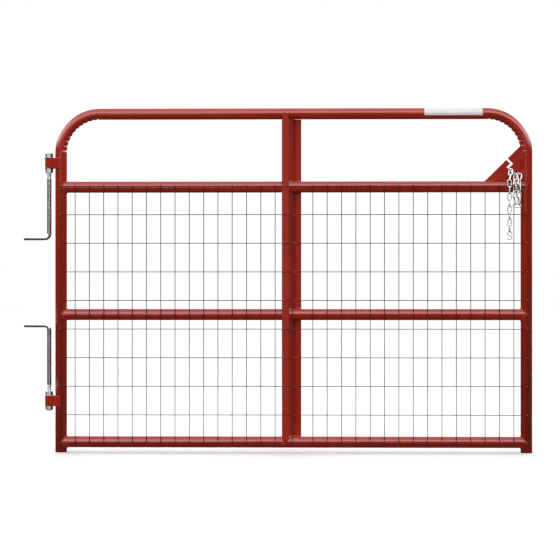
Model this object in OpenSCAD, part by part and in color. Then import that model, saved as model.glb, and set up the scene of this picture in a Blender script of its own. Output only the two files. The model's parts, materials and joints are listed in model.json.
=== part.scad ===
// Livestock panel gate: a bent tube frame, filled with welded mesh below and open above.
// It hangs by two J-bolts in strap eyes and closes with a chain in a zigzag slot.
// Origin: on the hinge line, level with the open ends of the legs. +X runs to the latch
// side, -Y is the mesh side, +Z is up. Sizes are in millimetres.

/* [Frame] */
// Outside diameter of the frame tube
tube_d = 41.3; // [38:0.1:45]
// Wall of the frame tube
tube_wall = 1.7; // [1.2:0.1:3]
// Distance between the two leg axes
leg_span = 1656.4; // [1500:0.1:1800]
// Overall height, from the leg ends to the top of the top rail
gate_h = 1226; // [1150:1:1260]
// Radius of each upper corner, to the tube's axis
bend_r = 140; // [110:1:170]
// Height of the bottom rail's axis
bottom_rail_z = 37; // [30:1:60]
// Height of the middle rail's axis
middle_rail_z = 491; // [470:1:510]
// Height of the upper rail's axis
upper_rail_z = 945; // [935:1:955]

/* [Centre brace] */
// Distance from the left leg's axis to the brace's middle
brace_x = 822.5; // [790:0.5:850]
// Width of the brace, front flange edge to rear flange edge
brace_w = 68.5; // [60:0.5:75]
// Thickness of the brace sheet
brace_t = 1.5; // [1:0.1:2]
// Width of the front flange
front_flange_w = 25; // [20:1:30]
// Width of the rear flange
rear_flange_w = 20; // [15:1:25]
// Depth of the lip on the front flange
lip_depth = 12; // [8:1:16]
// Width of the front flange's end tongues
tongue_w = 20; // [12:1:22]

/* [Mesh] */
// Wire diameter
wire_d = 2.6; // [2:0.1:3]
// Spacing of the upright wires
upright_pitch = 50.8; // [50:0.1:51]
// Spacing of the line wires
line_pitch = 101.6; // [101:0.1:102]
// Height of the lowest line wire
lowest_line_z = 32.4; // [31:0.1:34]
// Number of evenly spaced uprights in each panel
upright_count = 16; // [15:1:16]
// Number of line wires in each panel
line_count = 10; // [9:1:10]

/* [Hinges] */
// Distance from the hinge line to the left leg's axis
hinge_offset = 42.5; // [40:0.5:46]
// Height of the top strap's middle
top_strap_z = 1030; // [1000:1:1035]
// Height of the bottom strap's middle
bottom_strap_z = 182; // [175:1:190]
// Height of each strap
strap_h = 36; // [30:1:40]
// Thickness of each strap
strap_t = 6; // [4:0.5:6.5]
// Radius of the strap eye
eye_r = 8.8; // [8.4:0.1:9.2]
// Radius of the J-bolt
bolt_r = 7.94; // [7.5:0.01:8]
// Length of the threaded shank, from its end to the pintle's axis
shank_len = 305; // [280:1:330]
// Length of the pintle, from the shank's axis to its free end
pintle_len = 90; // [70:1:100]
// Radius of the bend between shank and pintle, to the bolt's axis
bolt_bend_r = 16; // [12:1:20]
// Width of the nut across its flats
nut_af = 23.8; // [22:0.1:25]
// Height of the nut
nut_h = 13.9; // [12:0.1:15]
// Outside radius of the washer
washer_r = 16.7; // [15:0.1:17]
// Thickness of the washer
washer_t = 2.6; // [2:0.1:3]
// Length of bolt left past its last nut
bolt_end = 3; // [1:0.5:6]

/* [Latch gusset] */
// Length of the gusset along the rail, from the leg's axis
gusset_l = 147.5; // [140:0.5:155]
// Height of the gusset above the upper rail's axis
gusset_h = 144; // [138:0.5:150]
// Thickness of the gusset plate
gusset_t = 4.8; // [4:0.1:6]
// Depth of the plate's middle in front of the tube axes
gusset_y = 7.6; // [6:0.1:9]
// Width of the chain slot
slot_w = 7; // [6:0.1:8]

/* [Chain] */
// Diameter of the link wire
link_d = 4.2; // [3.8:0.1:4.3]
// Half width of a link, to the wire's axis
link_r = 6.25; // [6.1:0.05:6.4]
// Half length of a link, to the wire's axis
link_half = 13.5; // [13:0.1:14]
// Play left between two links
link_gap = 0.25; // [0.2:0.05:0.3]
// Links in the free tail
tail_links = 10; // [10:1:10]
// Links in each strand of the stowed loop
loop_links = 5; // [5:1:5]
// Distance between the two strands of the loop
strand_gap = 15; // [14.7:0.1:15.4]
// Radius of the end hook's two curves, to the wire's axis
hook_r = 7.5; // [7:0.1:8]
// Diameter of the end hook's wire
hook_d = 4.6; // [4:0.1:5]

/* [Label] */
// Length of the blank label on the top rail
label_w = 206; // [180:1:220]
// Distance from the left leg's axis to the label's near end
label_x = 1294; // [1250:1:1320]

/* [Hidden] */
$fn = 64;

paint = "#9c2f27";
zinc = "silver";

// Frame
tube_r = tube_d / 2;
bore_r = tube_r - tube_wall;
left_x = hinge_offset;
right_x = left_x + leg_span;
top_z = gate_h - tube_r;
corner_z = top_z - bend_r;
cope_r = tube_r + 0.15;

// Straps: the bores are cut a little deeper than the bent strip's own inside
bore_stock = 0.5;
arc_steps = 16;

// The stack at each eye: nuts and washers sit a hair apart, as on a slack bolt
play = 0.1;
thread_play = 0.06;
washer_play = 0.5;
top_face = top_strap_z + strap_h / 2 + play;
top_under = top_strap_z - strap_h / 2 - play;
low_face = bottom_strap_z + strap_h / 2 + play;
low_under = bottom_strap_z - strap_h / 2 - play;
top_bolt_z = top_face + washer_t + play + nut_h + bolt_end;
low_bolt_z = low_under - nut_h - bolt_end;

// Brace
brace_mid = left_x + brace_x;
brace_lap = 1;
brace_top = top_z - tube_r + brace_lap;
brace_foot = bottom_rail_z + tube_r - brace_lap;
brace_fit = 0.02;
head_tongue_z = top_z - tongue_w / 2 + 3;
foot_tongue_z = bottom_rail_z + tongue_w / 2 - 1;

// Mesh: line wires lie on the front flange, uprights lie on the line wires
line_y = -(tube_r + brace_t + 0.05 + wire_d / 2);
upright_y = line_y - wire_d - 0.05;
mesh_front = upright_y - wire_d / 2;
line_over = 5;
upright_over = 4;
left_edge_x = left_x + 2.5;
right_edge_x = right_x + 4;
seam_x = brace_mid + 3;
panel_gap = 2;
top_line_z = lowest_line_z + (line_count - 1) * line_pitch;

// Latch slot: points in the plate's plane, from the leg's axis and the upper rail's axis
plate_y = -gusset_y;
plate_front = plate_y - gusset_t / 2;
plate_reach = sqrt(pow(tube_r, 2) - pow(gusset_y - gusset_t / 2, 2)) + 0.05;
bend_shift = bend_r - sqrt(pow(bend_r, 2) - pow(gusset_h + upper_rail_z - corner_z, 2)) + 0.3;
diag = [1, 0, -1] / sqrt(2);
slot_out = [-53.2, 81.2];
slot_in = [-66.4, 68];
along = [1, -1] / sqrt(2);
across = [1, 1] / sqrt(2);
high_link = [right_x - 60.2, plate_y, upper_rail_z + 61.8];
slot_pair_gap = 24;
low_link = high_link + slot_pair_gap * diag;
slot_play = 0.5;
slot_end = [low_link.x - right_x, low_link.z - upper_rail_z]
    + (link_r + link_d / 2 + slot_play) * along;

// Label: its thickness, its fit on the tube, and how far it reaches below the top rail's axis
label_t = 0.3;
label_fit = 0.05;
label_drop = 8;

// Chain strands: pivots run down from a bow, lean out over the rail, then hang plumb
pitch = 2 * link_half - link_d - link_gap;
pivot_to_centre = link_half - link_d - link_gap;
link_leg = link_half - link_r;
bow_angle = 36;
bow_y = -link_leg - link_r * sin(bow_angle);
top_drop = 0.15;
bow_point = link_r * cos(bow_angle) * diag + [0, bow_y, -top_drop];
mesh_clearance = 3;
strand_y = mesh_front - link_r - link_d / 2 - mesh_clearance;
tail_x = right_x - 63;
up_x = right_x - 46;
anchor_centre = low_link + [strand_gap, 0, 0];

// A strand is [top pivot, x that it leans to, twists of its first and second link, twist
// from link to link after them]
tail = [high_link + bow_point, tail_x, -20, 90, 90];
up = [low_link + bow_point, up_x, -30, 50, 80];
down = [anchor_centre + bow_point, up_x + strand_gap, -30, 50, 80];
function twist(s, i) = i == 0 ? s[2] : s[3] + (i - 1) * s[4];

// Its first two links lean, forwards by lean_out and to the left by lean_left
function lean_out(s) = asin((s[0].y - strand_y) / 2 / pitch);
function lean_left(s) = asin((s[0].x - s[1]) / 2 / (pitch * cos(lean_out(s))));
function lean_dir(s) = let (a = lean_out(s), b = lean_left(s))
    -[cos(a) * sin(b), sin(a), cos(a) * cos(b)];

// The second link's crosswise direction, and how far along its bow the third link settles
function cross_dir(s) = let (a = lean_out(s), b = lean_left(s), t = twist(s, 1))
    [cos(t) * cos(b) - sin(t) * sin(a) * sin(b), sin(t) * cos(a),
     -cos(t) * sin(b) - sin(t) * sin(a) * cos(b)];
function settle(s) = let (u = lean_dir(s), e = cross_dir(s), v = -u.z * u - e.z * e)
    link_r * (v / norm(v) - u);
function pivot(s, i) = i < 2 ? s[0] + i * pitch * lean_dir(s)
    : s[0] + 2 * pitch * lean_dir(s) + settle(s) - [0, 0, (i - 2) * pitch];

loop_pivot = pivot(up, loop_links);

module tube_along_x(x0, x1, z, r) {
    translate([x0, 0, z])
        rotate([0, 90, 0])
            cylinder(h = x1 - x0, r = r);
}

// The outline of the bent frame, filled to radius r, with its legs cut at z0
module frame_core(r, z0) {
    for (x = [left_x, right_x])
        translate([x, 0, z0])
            cylinder(h = corner_z - z0, r = r);
    tube_along_x(left_x + bend_r, right_x - bend_r, top_z, r);
    corner_bend(left_x + bend_r, 90, r);
    corner_bend(right_x - bend_r, 0, r);
}

module corner_bend(x, start, r) {
    translate([x, 0, corner_z])
        rotate([90, 0, 0])
            rotate([0, 0, start])
                rotate_extrude(angle = 90)
                    translate([bend_r, 0])
                        circle(r = r);
}

module frame_tube() {
    color(paint)
        difference() {
            frame_core(tube_r, 0);
            frame_core(bore_r, -1);
        }
}

// A straight rail, coped to the outside of both legs
module rail(z) {
    color(paint)
        difference() {
            tube_along_x(left_x, right_x, z, tube_r);
            tube_along_x(left_x - 1, right_x + 1, z, bore_r);
            for (x = [left_x, right_x])
                translate([x, 0, z - 2 * tube_r])
                    cylinder(h = 4 * tube_r, r = cope_r);
        }
}

// Section of the brace, seen from above: lip, front flange, sloping web, rear flange
module brace_section() {
    x0 = -brace_w / 2;
    x1 = x0 + front_flange_w;
    x2 = brace_w / 2 - rear_flange_w;
    x3 = brace_w / 2;
    yf = -tube_r;
    yr = tube_r;
    slope = (x2 - x1) / (yr - yf + brace_t);
    web_back = slope * brace_t - brace_t * sqrt(1 + pow(slope, 2));
    polygon([
        [x0, yf - brace_t], [x1, yf - brace_t], [x2, yr], [x3, yr], [x3, yr + brace_t],
        [x2 + web_back, yr + brace_t], [x1 + web_back, yf], [x0 + brace_t, yf],
        [x0 + brace_t, yf + lip_depth], [x0, yf + lip_depth]
    ]);
}

// The rounded tongue of the front flange that laps over an end rail
module brace_tongue(z0, z1, top) {
    x = brace_mid - brace_w / 2 + front_flange_w / 2;
    r = tongue_w / 2;
    translate([x, -tube_r, 0])
        rotate([90, 0, 0])
            linear_extrude(height = brace_t) {
                translate([-r, z0])
                    square([tongue_w, z1 - z0]);
                translate([0, top ? z1 : z0])
                    circle(r = r);
            }
}

module centre_brace() {
    color(paint)
        difference() {
            union() {
                translate([brace_mid, 0, brace_foot])
                    linear_extrude(height = brace_top - brace_foot)
                        brace_section();
                brace_tongue(brace_top - brace_lap, head_tongue_z, true);
                brace_tongue(foot_tongue_z, brace_foot + brace_lap, false);
            }
            for (z = [bottom_rail_z, middle_rail_z, upper_rail_z, top_z])
                tube_along_x(brace_mid - brace_w, brace_mid + brace_w, z, tube_r + brace_fit);
        }
}

module upright(x) {
    translate([x, upright_y, lowest_line_z - upright_over])
        cylinder(h = top_line_z - lowest_line_z + 2 * upright_over, r = wire_d / 2, $fn = 24);
}

module line_wires(x0, x1) {
    color(paint)
        for (i = [0:line_count - 1])
            translate([x0, line_y, lowest_line_z + i * line_pitch])
                rotate([0, 90, 0])
                    cylinder(h = x1 - x0, r = wire_d / 2, $fn = 24);
}

module mesh_left_uprights() {
    color(paint) {
        for (i = [0:upright_count - 1])
            upright(left_edge_x + i * upright_pitch);
        upright(seam_x);
    }
}

module mesh_right_uprights() {
    color(paint)
        for (i = [0:upright_count - 1])
            upright(right_edge_x - i * upright_pitch);
}

module mesh_left_lines() {
    line_wires(left_edge_x - line_over, seam_x + line_over);
}

module mesh_right_lines() {
    line_wires(seam_x + line_over + panel_gap, right_edge_x + line_over);
}

// A triangular plate, its chain slot a zigzag of three legs at 45 degrees from the sloping edge
module latch_gusset() {
    foot = [-gusset_l, plate_reach];
    top = [-plate_reach - bend_shift, gusset_h];
    edge = (top - foot) / norm(top - foot);
    mouth = foot + ((slot_out - foot) * edge) * edge;
    half = slot_w / 2;
    side = [slot_w / sqrt(2), 0];
    color(paint)
        translate([right_x, plate_y + gusset_t / 2, upper_rail_z])
            rotate([90, 0, 0])
                linear_extrude(height = gusset_t)
                    polygon([
                        foot, [-plate_reach, plate_reach],
                        [-plate_reach, corner_z - upper_rail_z], top,
                        mouth + half * edge, slot_out + side, slot_in + side,
                        slot_end + half * across, slot_end - half * across,
                        slot_in - side, slot_out - side, mouth - half * edge
                    ]);
}

module rail_label() {
    r = tube_r + label_fit;
    color("white")
        translate([left_x + label_x, 0, top_z])
            rotate([0, 90, 0])
                linear_extrude(height = label_w)
                    difference() {
                        circle(r = r + label_t);
                        circle(r = r);
                        translate([-2 * r, 0])
                            square([4 * r, 2 * r]);
                        translate([label_drop, -2 * r])
                            square([2 * r, 4 * r]);
                    }
}

// Points on a circle of radius r about [x, 0], from one angle to another
function arc(x, r, from, to) =
    [for (i = [0:arc_steps]) let (a = from + (to - from) * i / arc_steps) [x + r * cos(a), r * sin(a)]];

// The line that a strap's inside (extra 0) or outside (extra strap_t) follows, seen from above
function strap_line(extra) =
    let (r1 = eye_r + extra, r2 = cope_r + extra, slope = asin((r2 - r1) / hinge_offset))
    concat(arc(hinge_offset, r2, 90, 90 + slope), arc(0, r1, 90 + slope, 270 - slope),
        arc(hinge_offset, r2, 270 - slope, 270));

function backwards(list) = [for (i = [len(list) - 1:-1:0]) list[i]];

// A strap bent round the bolt, its two ends hugging the front and back of the leg
module hinge_strap(z) {
    color(paint)
        translate([0, 0, z - strap_h / 2])
            difference() {
                linear_extrude(height = strap_h)
                    polygon(concat(strap_line(strap_t), backwards(strap_line(-bore_stock))));
                translate([0, 0, -1])
                    cylinder(h = strap_h + 2, r = eye_r);
                translate([hinge_offset, 0, -1])
                    cylinder(h = strap_h + 2, r = cope_r);
            }
}

// A J-bolt standing on its threaded end: the pintle leaves the top towards the left
module j_bolt() {
    run = shank_len - bolt_bend_r;
    cylinder(h = run, r = bolt_r);
    translate([-bolt_bend_r, 0, run])
        rotate([90, 0, 0])
            rotate_extrude(angle = 90)
                translate([bolt_bend_r, 0])
                    circle(r = bolt_r);
    translate([-pintle_len, 0, shank_len])
        rotate([0, 90, 0])
            cylinder(h = pintle_len - bolt_bend_r, r = bolt_r);
}

module nut(z) {
    color(zinc)
        translate([0, 0, z])
            difference() {
                cylinder(h = nut_h, r = nut_af / 2 / cos(30), $fn = 6);
                translate([0, 0, -1])
                    cylinder(h = nut_h + 2, r = bolt_r + thread_play);
            }
}

module washer(z) {
    color(zinc)
        translate([0, 0, z])
            difference() {
                cylinder(h = washer_t, r = washer_r);
                translate([0, 0, -1])
                    cylinder(h = washer_t + 2, r = bolt_r + washer_play);
            }
}

module hinge_bolt_top() {
    color(zinc)
        translate([0, 0, top_bolt_z])
            mirror([0, 0, 1])
                j_bolt();
}

module hinge_bolt_bottom() {
    color(zinc)
        translate([0, 0, low_bolt_z])
            j_bolt();
}

// Half of a chain link: a bow and its two legs, opening downwards
module half_link(leg) {
    translate([0, 0, leg])
        rotate([90, 0, 0])
            rotate_extrude(angle = 180)
                translate([link_r, 0])
                    circle(d = link_d);
    for (x = [-link_r, link_r])
        translate([x, 0, 0])
            cylinder(h = leg, d = link_d);
}

// A whole link, centred, long axis along Z, in the XZ plane
module link() {
    half_link(link_leg);
    mirror([0, 0, 1])
        half_link(link_leg);
}

// Link number i of a strand, counted from 0 at its top
module strand_link(s, i) {
    a = i < 2 ? lean_out(s) : 0;
    b = i < 2 ? lean_left(s) : 0;
    color(zinc)
        translate(pivot(s, i))
            rotate([-a, b, 0])
                translate([0, 0, -pivot_to_centre])
                    rotate([0, 0, twist(s, i)])
                        link();
}

module slot_link(centre) {
    color(zinc)
        translate(centre)
            rotate([0, 45, 0])
                rotate([90, 0, 0])
                    link();
}

// The link behind the plate that joins the two slot links
module chain_back_link() {
    color(zinc)
        translate((high_link + low_link) / 2 + [0, link_leg, 0])
            rotate([0, 135, 0])
                link();
}

module chain_loop_link() {
    color(zinc)
        translate(loop_pivot + [strand_gap / 2, 0, link_d + link_gap - link_r])
            rotate([0, 90, 0])
                link();
}

// Half a link, its cut legs welded to the front of the gusset
module chain_anchor() {
    color(zinc)
        translate([anchor_centre.x, plate_front, anchor_centre.z])
            rotate([0, 45, 0])
                rotate([90, 0, 0])
                    half_link(link_leg - gusset_t / 2);
}

// An S-hook through the last link: two curves that meet in its middle
module chain_end_hook() {
    top = pivot(tail, tail_links);
    color(zinc)
        translate(top + [0, 0, (link_d + hook_d) / 2 + link_gap - 2 * hook_r])
            rotate([90, 0, 0]) {
                translate([0, hook_r])
                    rotate([0, 0, -30])
                        rotate_extrude(angle = 300)
                            translate([hook_r, 0])
                                circle(d = hook_d);
                translate([0, -hook_r])
                    rotate([0, 0, -150])
                        rotate_extrude(angle = 240)
                            translate([hook_r, 0])
                                circle(d = hook_d);
            }
}

frame_tube();
rail(upper_rail_z);  // upper_rail
rail(middle_rail_z);  // middle_rail
rail(bottom_rail_z);  // bottom_rail
centre_brace();
mesh_left_uprights();
mesh_left_lines();
mesh_right_uprights();
mesh_right_lines();
latch_gusset();
rail_label();
hinge_strap(top_strap_z);  // hinge_strap_top
hinge_strap(bottom_strap_z);  // hinge_strap_bottom
hinge_bolt_top();
hinge_bolt_bottom();
nut(top_face + washer_t + play);  // nut_top_upper
nut(top_under - washer_t - play - nut_h);  // nut_top_lower
nut(low_face + washer_t + play);  // nut_bottom_upper
nut(low_under - nut_h);  // nut_bottom_lower
washer(top_face);  // washer_top_upper
washer(top_under - washer_t);  // washer_top_lower
washer(low_face);  // washer_bottom_upper
chain_anchor();
chain_loop_link();
slot_link(low_link);  // chain_slot_link_low
chain_back_link();
slot_link(high_link);  // chain_slot_link_high
chain_end_hook();
for (i = [1:loop_links]) {
    strand_link(down, i - 1);
    strand_link(up, i - 1);
}
for (i = [1:tail_links]) {
    number = str(i < 10 ? "0" : "", i);
    strand_link(tail, i - 1);
}
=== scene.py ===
"""Looks of a welded livestock gate: bent tube frame, wire mesh, hinge hardware and latch chain.

The working model is loaded as a fixed frame, and every place below is worked out from its
boxes, the settings and the sizes named beside each step. All lengths are in metres: +X runs
to the latch side, -Y is the mesh side and +Z is up.
"""
import json
import math

import bmesh
import bpy
import numpy as np
from bpy.props import FloatProperty, FloatVectorProperty, IntProperty, PointerProperty
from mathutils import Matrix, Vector

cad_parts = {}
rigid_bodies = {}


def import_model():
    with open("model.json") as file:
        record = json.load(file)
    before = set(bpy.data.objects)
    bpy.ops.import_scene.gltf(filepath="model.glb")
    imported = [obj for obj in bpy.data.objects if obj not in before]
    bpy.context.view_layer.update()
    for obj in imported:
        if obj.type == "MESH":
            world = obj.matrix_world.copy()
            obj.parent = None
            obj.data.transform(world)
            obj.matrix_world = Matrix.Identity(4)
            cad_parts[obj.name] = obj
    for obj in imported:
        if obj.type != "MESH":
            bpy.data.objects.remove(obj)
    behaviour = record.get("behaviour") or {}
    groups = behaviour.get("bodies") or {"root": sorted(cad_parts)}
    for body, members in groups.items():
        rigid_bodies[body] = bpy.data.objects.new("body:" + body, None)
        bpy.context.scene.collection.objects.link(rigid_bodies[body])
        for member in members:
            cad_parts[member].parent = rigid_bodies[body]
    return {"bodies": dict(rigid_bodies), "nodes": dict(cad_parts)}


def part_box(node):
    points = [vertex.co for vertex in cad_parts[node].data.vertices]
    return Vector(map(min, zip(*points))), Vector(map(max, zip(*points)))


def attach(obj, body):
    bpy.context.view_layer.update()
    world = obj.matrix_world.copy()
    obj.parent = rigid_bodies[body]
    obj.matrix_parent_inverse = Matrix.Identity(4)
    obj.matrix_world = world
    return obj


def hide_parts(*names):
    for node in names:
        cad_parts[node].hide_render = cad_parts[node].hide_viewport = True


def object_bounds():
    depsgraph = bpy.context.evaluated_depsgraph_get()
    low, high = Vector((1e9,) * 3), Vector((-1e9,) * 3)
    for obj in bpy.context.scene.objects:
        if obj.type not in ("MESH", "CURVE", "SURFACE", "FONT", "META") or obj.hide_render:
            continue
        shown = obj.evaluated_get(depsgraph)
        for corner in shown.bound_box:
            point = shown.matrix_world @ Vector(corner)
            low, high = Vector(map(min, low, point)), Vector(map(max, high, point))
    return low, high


bl_info = {
    "name": "Livestock Gate Looks",
    "version": (1, 0, 0),
    "blender": (4, 5, 0),
    "location": "3D View > Sidebar > Gate",
    "description": "Builds the visible pieces, finishes and studio of a welded livestock gate",
    "category": "Object",
}

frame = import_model()
CAD_LOW, CAD_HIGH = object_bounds()
NODES = frame["nodes"]
RAILS = ("upper_rail", "middle_rail", "bottom_rail")
SIDES = ("top", "bottom")


def middle(node):
    """The middle of a node's box."""
    low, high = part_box(node)
    return (low + high) / 2


TUBE_LOW, TUBE_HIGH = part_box("frame_tube")
TUBE_R = (TUBE_HIGH.y - TUBE_LOW.y) / 2
LEFT_LEG = TUBE_LOW.x + TUBE_R
RIGHT_LEG = TUBE_HIGH.x - TUBE_R
TOP_TUBE = TUBE_HIGH.z - TUBE_R
LEG_END = TUBE_LOW.z
BOLT_LOW, BOLT_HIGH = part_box("hinge_bolt_top")
BOLT_R = (BOLT_HIGH.y - BOLT_LOW.y) / 2
BACK_LINK_LOW, BACK_LINK_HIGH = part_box("chain_back_link")
CHAIN_WIRE_R = (BACK_LINK_HIGH.y - BACK_LINK_LOW.y) / 2


class FrameSettings(bpy.types.PropertyGroup):
    wall: FloatProperty(
        name="Wall", description="Wall of the frame tube", default=0.0017, unit="LENGTH")
    bend_radius: FloatProperty(
        name="Bend radius", description="Radius of each upper corner, to the tube's axis",
        default=0.14, unit="LENGTH")
    crimps: IntProperty(
        name="Crimps", description="Folds on the inside of each bend", default=11)
    crimp_depth: FloatProperty(
        name="Crimp depth", description="Depth of the folds", default=0.0028, unit="LENGTH")
    tube_sides: IntProperty(
        name="Tube sides", description="Faces round the tube", default=48)
    edge_round: FloatProperty(
        name="Edge rounding", description="Rounding of cut plate edges",
        default=0.0006, unit="LENGTH")
    fold_round: FloatProperty(
        name="Fold rounding", description="Rounding of the brace's folds",
        default=0.0014, unit="LENGTH")


class WeldSettings(bpy.types.PropertyGroup):
    ripple: FloatProperty(
        name="Ripple", description="Distance between the ripples of a bead", default=0.0026,
        unit="LENGTH")
    bead_width: FloatProperty(
        name="Bead width", description="Width of a weld bead", default=0.0044, unit="LENGTH")
    spot_size: FloatProperty(
        name="Spot size", description="Radius of the spots that hold the mesh to the frame",
        default=0.0032, unit="LENGTH")
    crossing_size: FloatProperty(
        name="Crossing size", description="Radius of the weld where two wires cross",
        default=0.0021, unit="LENGTH")
    seed: IntProperty(name="Seed", description="Seed of the uneven welds", default=7)


class HardwareSettings(bpy.types.PropertyGroup):
    thread_pitch: FloatProperty(
        name="Thread pitch", description="Pitch of the bolt's thread", default=0.00231,
        unit="LENGTH")
    thread_depth: FloatProperty(
        name="Thread depth", description="Depth of the bolt's thread", default=0.0012,
        unit="LENGTH")
    thread_length: FloatProperty(
        name="Thread length", description="Length of the threaded end", default=0.09,
        unit="LENGTH")
    bolt_bend: FloatProperty(
        name="Bolt bend", description="Radius of the bend between shank and pintle",
        default=0.016, unit="LENGTH")
    nut_chamfer: FloatProperty(
        name="Nut chamfer", description="Slope of the nut's cut corners, in degrees", default=30,
        min=10, max=45)


class FinishSettings(bpy.types.PropertyGroup):
    paint: FloatVectorProperty(
        name="Paint", description="Red enamel of the gate", default=(0.41, 0.019, 0.006),
        size=3, subtype="COLOR", min=0, max=1)
    wire_paint: FloatVectorProperty(
        name="Wire paint", description="Red enamel as it lies on the thin wires",
        default=(0.055, 0.009, 0.008), size=3, subtype="COLOR", min=0, max=1)
    zinc: FloatVectorProperty(
        name="Zinc", description="Zinc plating of the hinge hardware",
        default=(0.60, 0.63, 0.63), size=3, subtype="COLOR", min=0, max=1)
    chain_zinc: FloatVectorProperty(
        name="Chain zinc", description="Zinc plating of the chain",
        default=(0.36, 0.38, 0.38), size=3, subtype="COLOR", min=0, max=1)
    label: FloatVectorProperty(
        name="Label", description="The blank label", default=(0.85, 0.85, 0.84), size=3,
        subtype="COLOR", min=0, max=1)


class StageSettings(bpy.types.PropertyGroup):
    floor_size: FloatProperty(
        name="Floor size", description="Side of the floor", default=60, unit="LENGTH")
    floor_tint: FloatVectorProperty(
        name="Floor", description="Colour of the floor", default=(0.95, 0.95, 0.95), size=3,
        subtype="COLOR", min=0, max=1)
    ceiling_shine: FloatProperty(
        name="Ceiling shine", description="Brightness of the ceiling in glossy surfaces",
        default=4.0)
    camera_distance: FloatProperty(
        name="Camera distance", description="From the gate to the camera", default=7,
        unit="LENGTH")
    camera_turn: FloatProperty(
        name="Camera turn", description="How far the camera stands round to the latch side",
        default=math.radians(1.2), unit="ROTATION")
    view_width: FloatProperty(
        name="View width", description="Width of the view at the gate", default=1.994,
        unit="LENGTH")
    aim_aside: FloatProperty(
        name="Aim aside", description="Aim to the latch side of the gate's middle",
        default=0.009, unit="LENGTH")


def settings(name):
    return getattr(bpy.context.scene, "gate_" + name)


# Node trees ---------------------------------------------------------------------------


class Graph:
    """A node tree, with short ways to add nodes and to feed them."""

    def __init__(self, tree):
        self.tree = tree

    def feed(self, socket, value):
        if isinstance(value, bpy.types.NodeSocket):
            self.tree.links.new(value, socket)
        else:
            socket.default_value = value

    def add(self, kind, feeds=None, **options):
        node = self.tree.nodes.new(kind)
        for name, value in options.items():
            setattr(node, name, value)
        for name, value in (feeds or {}).items():
            self.feed(node.inputs[name], value)
        return node

    def calc(self, operation, *values, clamp=False):
        node = self.tree.nodes.new("ShaderNodeMath")
        node.operation = operation
        node.use_clamp = clamp
        for socket, value in zip(node.inputs, values):
            self.feed(socket, value)
        return node.outputs[0]

    def ramp_up(self, value, low, high):
        """0 up to low, 1 from high, smooth between."""
        node = self.add("ShaderNodeMapRange", interpolation_type="SMOOTHSTEP")
        for socket, number in zip(node.inputs, (value, low, high, 0.0, 1.0)):
            self.feed(socket, number)
        return node.outputs[0]


def geometry_graph(name, inputs):
    """A Geometry Nodes tree with the named inputs, and a material that it gives its result."""
    tree = bpy.data.node_groups.new(name, "GeometryNodeTree")
    make = tree.interface.new_socket
    make("Geometry", in_out="INPUT", socket_type="NodeSocketGeometry")
    for label, kind in inputs.items():
        make(label, in_out="INPUT", socket_type="NodeSocket" + kind)
    make("Material", in_out="INPUT", socket_type="NodeSocketMaterial")
    make("Geometry", in_out="OUTPUT", socket_type="NodeSocketGeometry")
    graph = Graph(tree)
    graph.source = tree.nodes.new("NodeGroupInput").outputs
    return graph


def close_graph(graph, geometry):
    """Ends a tree: smooth faces, real geometry and the material."""
    smooth = graph.add("GeometryNodeSetShadeSmooth", {"Geometry": geometry})
    real = graph.add("GeometryNodeRealizeInstances", {"Geometry": smooth.outputs[0]})
    painted = graph.add(
        "GeometryNodeSetMaterial",
        {"Geometry": real.outputs[0], "Material": graph.source["Material"]})
    end = graph.tree.nodes.new("NodeGroupOutput")
    graph.feed(end.inputs[0], painted.outputs[0])
    return graph.tree


def swept(graph):
    """The graph's curve, swept by a circle of its Radius and Sides."""
    curve = graph.add("GeometryNodeMeshToCurve", {"Mesh": graph.source["Geometry"]})
    ring = graph.add(
        "GeometryNodeCurvePrimitiveCircle",
        {"Resolution": graph.source["Sides"], "Radius": graph.source["Radius"]})
    return graph.add(
        "GeometryNodeCurveToMesh",
        {"Curve": curve.outputs[0], "Profile Curve": ring.outputs[0]})


def position_parts(graph):
    place = graph.add("GeometryNodeInputPosition")
    parts = graph.add("ShaderNodeSeparateXYZ", {"Vector": place.outputs[0]})
    return parts.outputs


def crimped_tube_tree():
    """A swept tube whose bends are folded on their inside."""
    graph = geometry_graph("Crimped tube", {
        "Radius": "Float", "Sides": "Int", "Bend Radius": "Float", "Bend Reach": "Float",
        "Middle": "Float", "Bend Height": "Float", "Crimps": "Int", "Crimp Depth": "Float"})
    put, calc = graph.source, graph.calc
    x, _, z = position_parts(graph)
    aside = calc("SUBTRACT", calc("ABSOLUTE", calc("SUBTRACT", x, put["Middle"])),
                 put["Bend Reach"])
    above = calc("SUBTRACT", z, put["Bend Height"])
    in_bend = calc("MULTIPLY", calc("GREATER_THAN", aside, 0), calc("GREATER_THAN", above, 0))
    angle = calc("ARCTAN2", above, aside)
    reach = calc("SQRT", calc("ADD", calc("MULTIPLY", aside, aside),
                              calc("MULTIPLY", above, above)))
    inward = calc("DIVIDE", calc("SUBTRACT", put["Bend Radius"], reach), put["Radius"])
    weight = graph.ramp_up(inward, 0.1, 0.9)
    wave = calc("COSINE", calc("MULTIPLY", angle, calc("MULTIPLY", put["Crimps"], 4)))
    fold = calc("POWER", calc("MULTIPLY_ADD", wave, -0.5, 0.5), 4)
    depth = calc("MULTIPLY", calc("MULTIPLY", fold, weight), put["Crimp Depth"])
    normal = graph.add("GeometryNodeInputNormal")
    shift = graph.add("ShaderNodeVectorMath", {0: normal.outputs[0]}, operation="SCALE")
    graph.feed(shift.inputs["Scale"], calc("MULTIPLY", calc("MULTIPLY", depth, in_bend), -1))
    moved = graph.add(
        "GeometryNodeSetPosition",
        {"Geometry": swept(graph).outputs[0], "Offset": shift.outputs[0]})
    return close_graph(graph, moved.outputs[0])


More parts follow.
